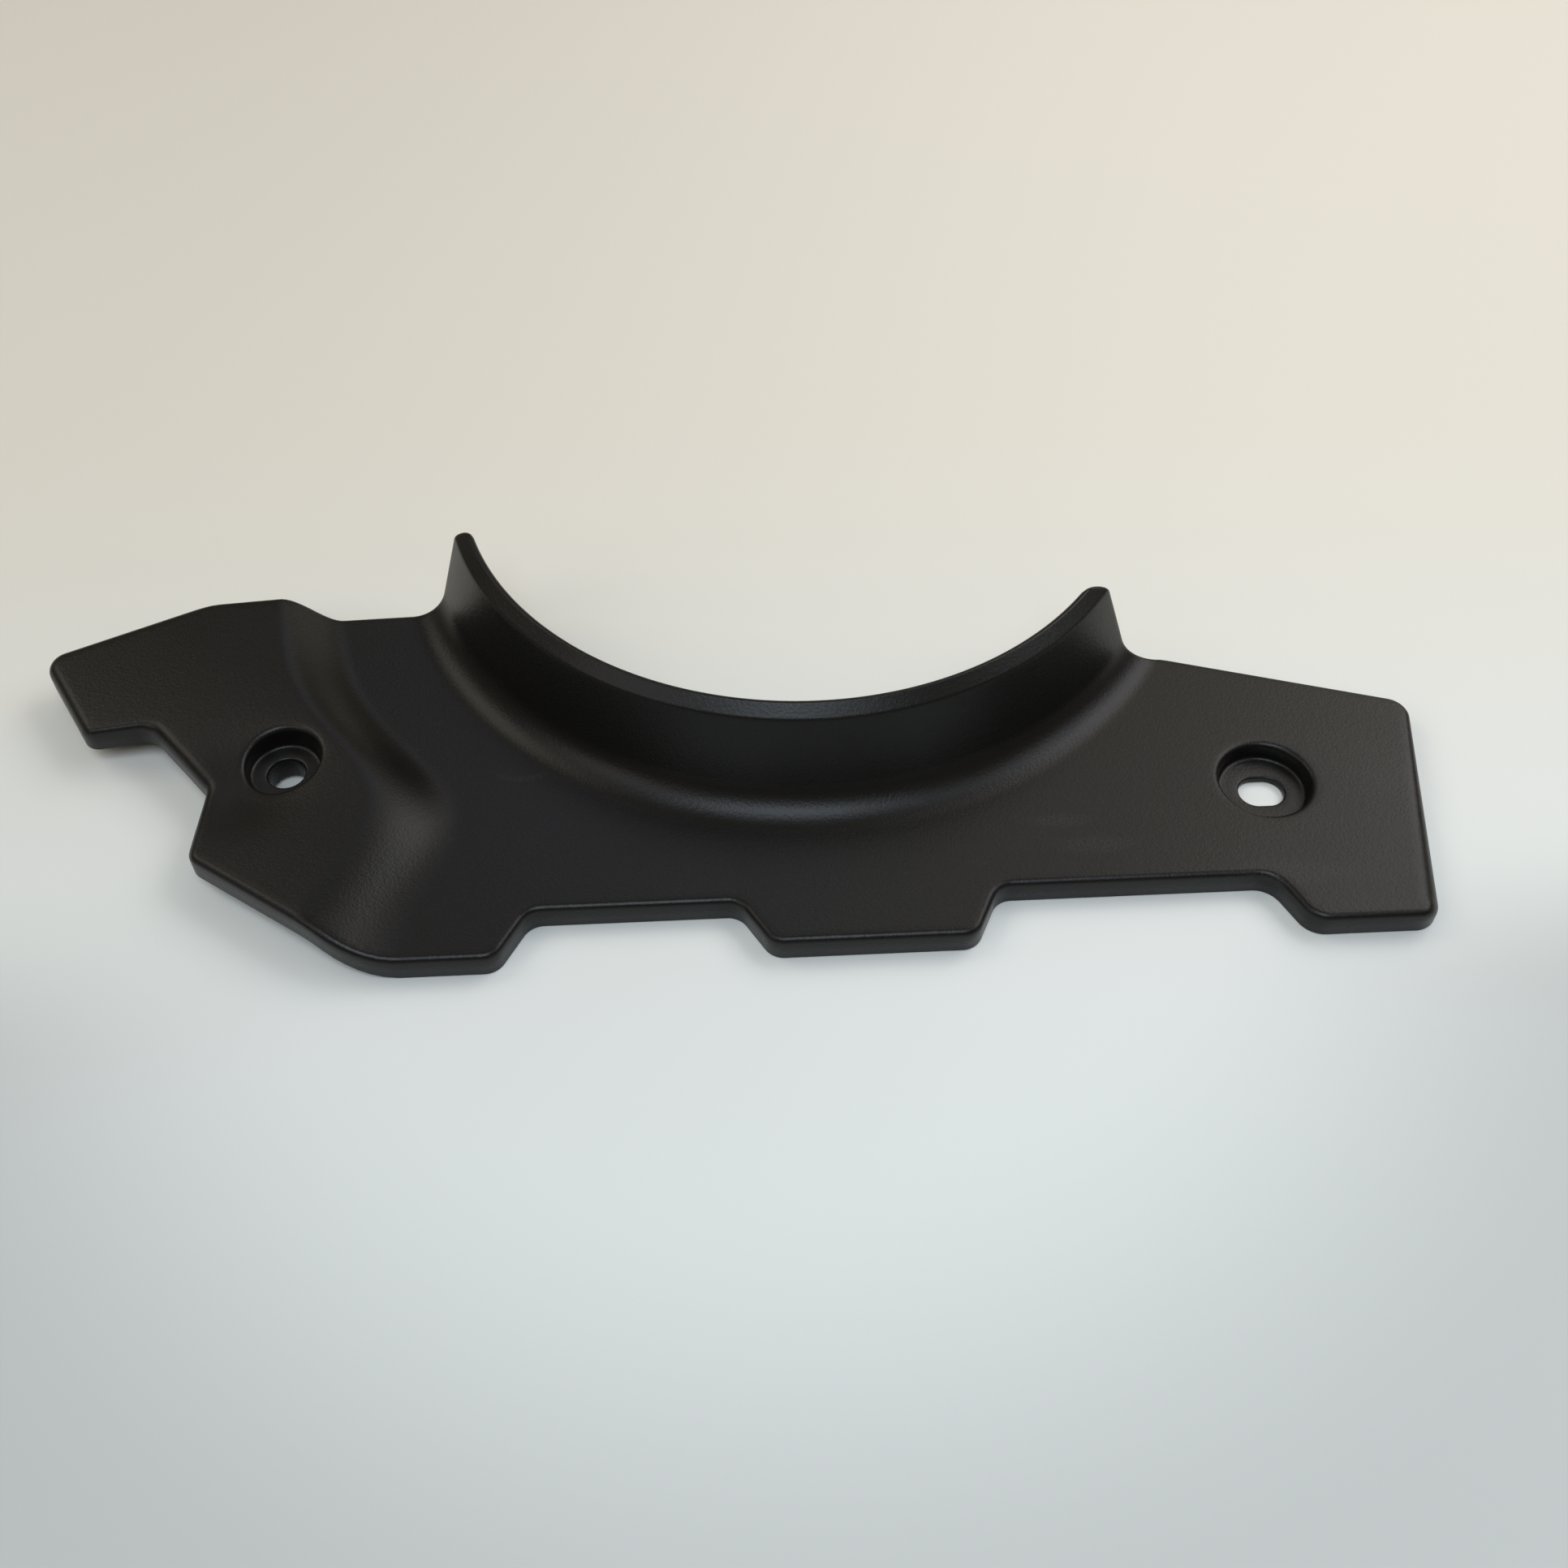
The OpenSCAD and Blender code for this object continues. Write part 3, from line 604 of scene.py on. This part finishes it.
def scuff_group():
    """One scuffed spot: a soft patch, drawn in to an arc where a radius is given."""
    made = bpy.data.node_groups.get("scuff_spot")
    if made:
        return made
    made = bpy.data.node_groups.new("scuff_spot", "ShaderNodeTree")
    for name, kind in (("Vector", "NodeSocketVector"), ("Grain", "NodeSocketFloat"),
                       ("Centre", "NodeSocketVector"), ("Spread", "NodeSocketVector"),
                       ("Arc radius", "NodeSocketFloat")):
        made.interface.new_socket(name, in_out="INPUT", socket_type=kind)
    made.interface.new_socket("Mask", in_out="OUTPUT", socket_type="NodeSocketFloat")
    link = made.links.new
    given = made.nodes.new("NodeGroupInput").outputs
    out = made.nodes.new("NodeGroupOutput").inputs

    def vector(operation, a, b=None):
        step = node(made, "ShaderNodeVectorMath", operation=operation)
        link(a, step.inputs[0])
        if b is not None:
            link(b, step.inputs[1])
        return step.outputs["Value" if operation == "LENGTH" else "Vector"]

    def maths(operation, a, b):
        step = node(made, "ShaderNodeMath", operation=operation)
        for value, socket in zip((a, b), step.inputs):
            if isinstance(value, float):
                socket.default_value = value
            else:
                link(value, socket)
        return step.outputs[0]

    def fade(value, full_to_none):
        return mapped(made, value, *full_to_none, 1.0, 0.0, smooth=True)

    off = vector("SUBTRACT", given["Vector"], given["Centre"])
    patch = fade(vector("LENGTH", vector("DIVIDE", off, given["Spread"])), PATCH_FADE)
    # the arc's centre lies one radius behind the patch
    behind = made.nodes.new("ShaderNodeCombineXYZ")
    link(given["Arc radius"], behind.inputs["Y"])
    reach = vector("LENGTH", vector("SUBTRACT", off, behind.outputs[0]))
    arc = fade(maths("ABSOLUTE", maths("SUBTRACT", reach, given["Arc radius"]), 0.0), ARC_FADE)
    plain = fade(given["Arc radius"], PLAIN_FADE)
    shape = maths("MULTIPLY", patch, maths("MAXIMUM", arc, plain))
    link(maths("MULTIPLY", shape, fade(given["Grain"], GRAIN_FADE)), out["Mask"])
    return made


# Colours, grain, gloss and handling marks of the plastic. A band is the part of a
# noise's range over which its effect comes in.
PLASTIC, WORN_PLASTIC = (0.0045, 0.0044, 0.0042, 1), (0.0150, 0.0148, 0.0142, 1)
GRAIN_SCALE, PIT_SCALE, CLOUD_SCALE, MARK_SCALE = 2600.0, 1500.0, 38.0, 120.0
PIT_SHARE, GRAIN_STRENGTH, GRAIN_HEIGHT = 0.5, 0.5, 0.00007
GLOSSIEST, DULLEST, GLOSS_BAND = 0.31, 0.37, (0.3, 0.7)
MARK_STRETCH, MARK_TURN, MARK_BAND, WORN_BAND = (1.0, 3.2, 2.0), 0.18, (0.62, 0.78), (0.5, 0.68)
PLASTIC_IOR, PLASTIC_SPECULAR = 1.5, 0.28


def moulded_plastic():
    """Black moulded plastic with a fine spark-eroded grain and faint handling marks."""
    material, tree, shader = new_material("moulded_plastic")
    link = tree.links.new
    where = tree.nodes.new("ShaderNodeTexCoord").outputs["Object"]

    grain = node(tree, "ShaderNodeTexNoise", Scale=GRAIN_SCALE, Detail=3.0, Roughness=0.6)
    pits = node(tree, "ShaderNodeTexVoronoi", Scale=PIT_SCALE)
    cloud = node(tree, "ShaderNodeTexNoise", Scale=CLOUD_SCALE, Detail=4.0, Roughness=0.55)
    along = node(tree, "ShaderNodeMapping", Scale=MARK_STRETCH, Rotation=(0, 0, MARK_TURN))
    marks = node(tree, "ShaderNodeTexNoise", Scale=MARK_SCALE, Detail=5.0, Roughness=0.7)
    link(where, along.inputs["Vector"])
    for texture in (grain, pits, cloud):
        link(where, texture.inputs["Vector"])
    link(along.outputs[0], marks.inputs["Vector"])

    grain_sum = node(tree, "ShaderNodeMath", operation="MULTIPLY_ADD")
    link(pits.outputs["Distance"], grain_sum.inputs[0])
    grain_sum.inputs[1].default_value = PIT_SHARE
    link(grain.outputs["Fac"], grain_sum.inputs[2])
    bump = node(tree, "ShaderNodeBump", Strength=GRAIN_STRENGTH, Distance=GRAIN_HEIGHT)
    link(grain_sum.outputs[0], bump.inputs["Height"])
    link(bump.outputs[0], shader.inputs["Normal"])

    worn = node(tree, "ShaderNodeMath", operation="MULTIPLY")
    link(mapped(tree, marks.outputs["Fac"], *MARK_BAND), worn.inputs[0])
    link(mapped(tree, cloud.outputs["Fac"], *WORN_BAND), worn.inputs[1])
    for centre, spread, ring in SCUFFS:
        spot = node(tree, "ShaderNodeGroup", node_tree=scuff_group())
        spot.inputs["Centre"].default_value = [v * MM for v in centre]
        spot.inputs["Spread"].default_value = [v * MM for v in spread]
        spot.inputs["Arc radius"].default_value = ring * MM
        link(where, spot.inputs["Vector"])
        link(grain.outputs["Fac"], spot.inputs["Grain"])
        stronger = node(tree, "ShaderNodeMath", operation="MAXIMUM")
        link(worn.outputs[0], stronger.inputs[0])
        link(spot.outputs["Mask"], stronger.inputs[1])
        worn = stronger

    colour = node(tree, "ShaderNodeMix", data_type="RGBA")
    colour.inputs[6].default_value = PLASTIC
    colour.inputs[7].default_value = WORN_PLASTIC
    link(worn.outputs[0], colour.inputs[0])
    link(colour.outputs[2], shader.inputs["Base Color"])

    gloss = mapped(tree, cloud.outputs["Fac"], *GLOSS_BAND, GLOSSIEST, DULLEST)
    link(gloss, shader.inputs["Roughness"])
    shader.inputs["IOR"].default_value = PLASTIC_IOR
    shader.inputs["Specular IOR Level"].default_value = PLASTIC_SPECULAR
    return material


# The table's colours in front and behind, which carry a painted cool light tint in front and a
# painted warm light tint behind, how much painted shade darkens its near corners, and the painted
# light falloff from its left to its right side. A reach is where a change starts and where it
# ends, in metres.
TABLE_FRONT, TABLE_BACK = (0.715, 0.755, 0.755, 1), (0.74, 0.705, 0.625, 1)
LIGHT_TINT_REACH, CORNER_REACH, NEAR_REACH = (-0.10, 0.12), (0.085, 0.17), (-0.06, -0.02)
PAINTED_CORNER_SHADE, SIDE_REACH, PAINTED_SIDE_LIGHT = 0.27, (-0.16, 0.16), (0.93, 1.05)
TABLE_ROUGHNESS, TABLE_SPECULAR = 0.75, 0.2


def table_top():
    """Pale matte table with painted light: a cooler light tint in front, a warmer one behind,
    painted shade at the near corners and a painted falloff darker to the left.
    """
    material, tree, shader = new_material("table_top")
    link = tree.links.new
    where = tree.nodes.new("ShaderNodeTexCoord").outputs["Object"]
    split = tree.nodes.new("ShaderNodeSeparateXYZ")
    link(where, split.inputs[0])

    def along(axis, reach, low=0.0, high=1.0):
        return mapped(tree, split.outputs[axis], *reach, low, high, smooth=True)

    def times(a, b):
        made = node(tree, "ShaderNodeMath", operation="MULTIPLY")
        link(a, made.inputs[0])
        link(b, made.inputs[1])
        return made.outputs[0]

    # painted light tint: the table cooler in front and warmer behind, as the light falls on it
    colour = node(tree, "ShaderNodeMix", data_type="RGBA")
    colour.inputs[6].default_value = TABLE_FRONT
    colour.inputs[7].default_value = TABLE_BACK
    link(along("Y", LIGHT_TINT_REACH), colour.inputs[0])
    # painted shade: the near corners darker, where the light falls off
    away = node(tree, "ShaderNodeVectorMath", operation="LENGTH")
    link(where, away.inputs[0])
    corner = mapped(tree, away.outputs["Value"], *CORNER_REACH, smooth=True)
    corner_painted_shade = node(tree, "ShaderNodeMath", operation="MULTIPLY_ADD")
    link(times(corner, along("Y", NEAR_REACH, 1.0, 0.0)), corner_painted_shade.inputs[0])
    corner_painted_shade.inputs[1].default_value, corner_painted_shade.inputs[2].default_value = -PAINTED_CORNER_SHADE, 1.0
    # painted light falloff: the table darker to the left and lighter to the right
    shade = times(corner_painted_shade.outputs[0], along("X", SIDE_REACH, *PAINTED_SIDE_LIGHT))
    grey = tree.nodes.new("ShaderNodeCombineXYZ")
    for socket in grey.inputs:
        link(shade, socket)
    toned = node(tree, "ShaderNodeVectorMath", operation="MULTIPLY")
    link(colour.outputs[2], toned.inputs[0])
    link(grey.outputs[0], toned.inputs[1])
    link(toned.outputs[0], shader.inputs["Base Color"])
    shader.inputs["Roughness"].default_value = TABLE_ROUGHNESS
    shader.inputs["Specular IOR Level"].default_value = TABLE_SPECULAR
    return material


# Table, lamps and camera
TABLE_HALF = 2.5


def table(material):
    """The flat table that the panel lies on."""
    h = TABLE_HALF
    mesh = bpy.data.meshes.new("table")
    mesh.from_pydata([(-h, -h, 0), (h, -h, 0), (h, h, 0), (-h, h, 0)], [], [(0, 1, 2, 3)])
    made = bpy.data.objects.new("table", mesh)
    bpy.context.collection.objects.link(made)
    mesh.materials.append(material)


# Soft lamps round the panel: azimuth (0 in front, 90 to the right), elevation and
# radiance in red, green and blue
LAMPS = {
    "overhead": (-3, 63, (4.65, 5.32, 6.05)),
    "right": (90, 45, (1.80, 1.90, 2.06)),
    "right_back": (122, 45, (2.82, 2.76, 2.90)),
    "back_right": (150, 48, (0.70, 0.65, 0.46)),
    "right_low": (138, 24, (0.95, 0.88, 0.76)),
    "back": (180, 50, (0.62, 0.68, 0.86)),
    "back_left": (245, 45, (2.04, 1.98, 1.74)),
    "left": (300, 40, (1.36, 1.31, 1.36)),
}
LAMP_SIZE, LAMP_DISTANCE = 0.6, 1.2
ROOM_COLOUR, ROOM_LEVEL = (0.18, 0.15, 0.10), 1.0


def lamp(name, azimuth, elevation, radiance):
    """A square soft lamp aimed at the panel."""
    a, e = math.radians(azimuth), math.radians(elevation)
    place = Vector((math.sin(a) * math.cos(e), -math.cos(a) * math.cos(e), math.sin(e)))
    data = bpy.data.lights.new(name, "AREA")
    data.shape, data.size = "SQUARE", LAMP_SIZE
    level = max(radiance)
    data.energy = level * math.pi * LAMP_SIZE ** 2
    data.color = [c / level for c in radiance]
    made = bpy.data.objects.new(name, data)
    bpy.context.collection.objects.link(made)
    made.location = place * LAMP_DISTANCE
    made.rotation_euler = (-place).to_track_quat("-Z", "Y").to_euler()


def world(colour, strength):
    """Even light from the room around."""
    made = bpy.data.worlds.new("room")
    made.use_nodes = True
    background = made.node_tree.nodes["Background"]
    background.inputs["Color"].default_value = (*colour, 1)
    background.inputs["Strength"].default_value = strength
    bpy.context.scene.world = made


# The photograph's view: turned to the left and raised above the table in degrees,
# its distance in metres, the point that it aims at on the drawing, its focal length
# and width in pixels, and a sensor's width in millimetres
VIEW_TURN, VIEW_RISE, VIEW_DISTANCE = 3, 50, 0.330
VIEW_AIM = (-5.5, 40.6)
FOCAL_PIXELS, PHOTO_PIXELS, SENSOR_WIDTH = 2100, 1932, 36.0


def camera(middle):
    """The photograph's view of the panel."""
    target = Vector(((VIEW_AIM[0] - middle[0]) * MM, (VIEW_AIM[1] - middle[1]) * MM, 0))
    a, e = math.radians(VIEW_TURN), math.radians(VIEW_RISE)
    back = Vector((-math.sin(a) * math.cos(e), -math.cos(a) * math.cos(e), math.sin(e)))
    data = bpy.data.cameras.new("camera")
    data.sensor_width = SENSOR_WIDTH
    data.lens = SENSOR_WIDTH * FOCAL_PIXELS / PHOTO_PIXELS
    data.clip_start, data.clip_end = 0.01, 20
    made = bpy.data.objects.new("camera", data)
    bpy.context.collection.objects.link(made)
    made.location = target + back * VIEW_DISTANCE
    made.rotation_euler = (-back).to_track_quat("-Z", "Y").to_euler()
    bpy.context.scene.camera = made


panel, middle = panel_mesh()
panel.data.materials.append(moulded_plastic())
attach(panel, "root")
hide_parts(NODE)

table(table_top())
for name, (azimuth, elevation, radiance) in LAMPS.items():
    lamp(name, azimuth, elevation, radiance)
world(ROOM_COLOUR, ROOM_LEVEL)
camera(middle)

scene = bpy.context.scene
scene.view_settings.view_transform = "Standard"
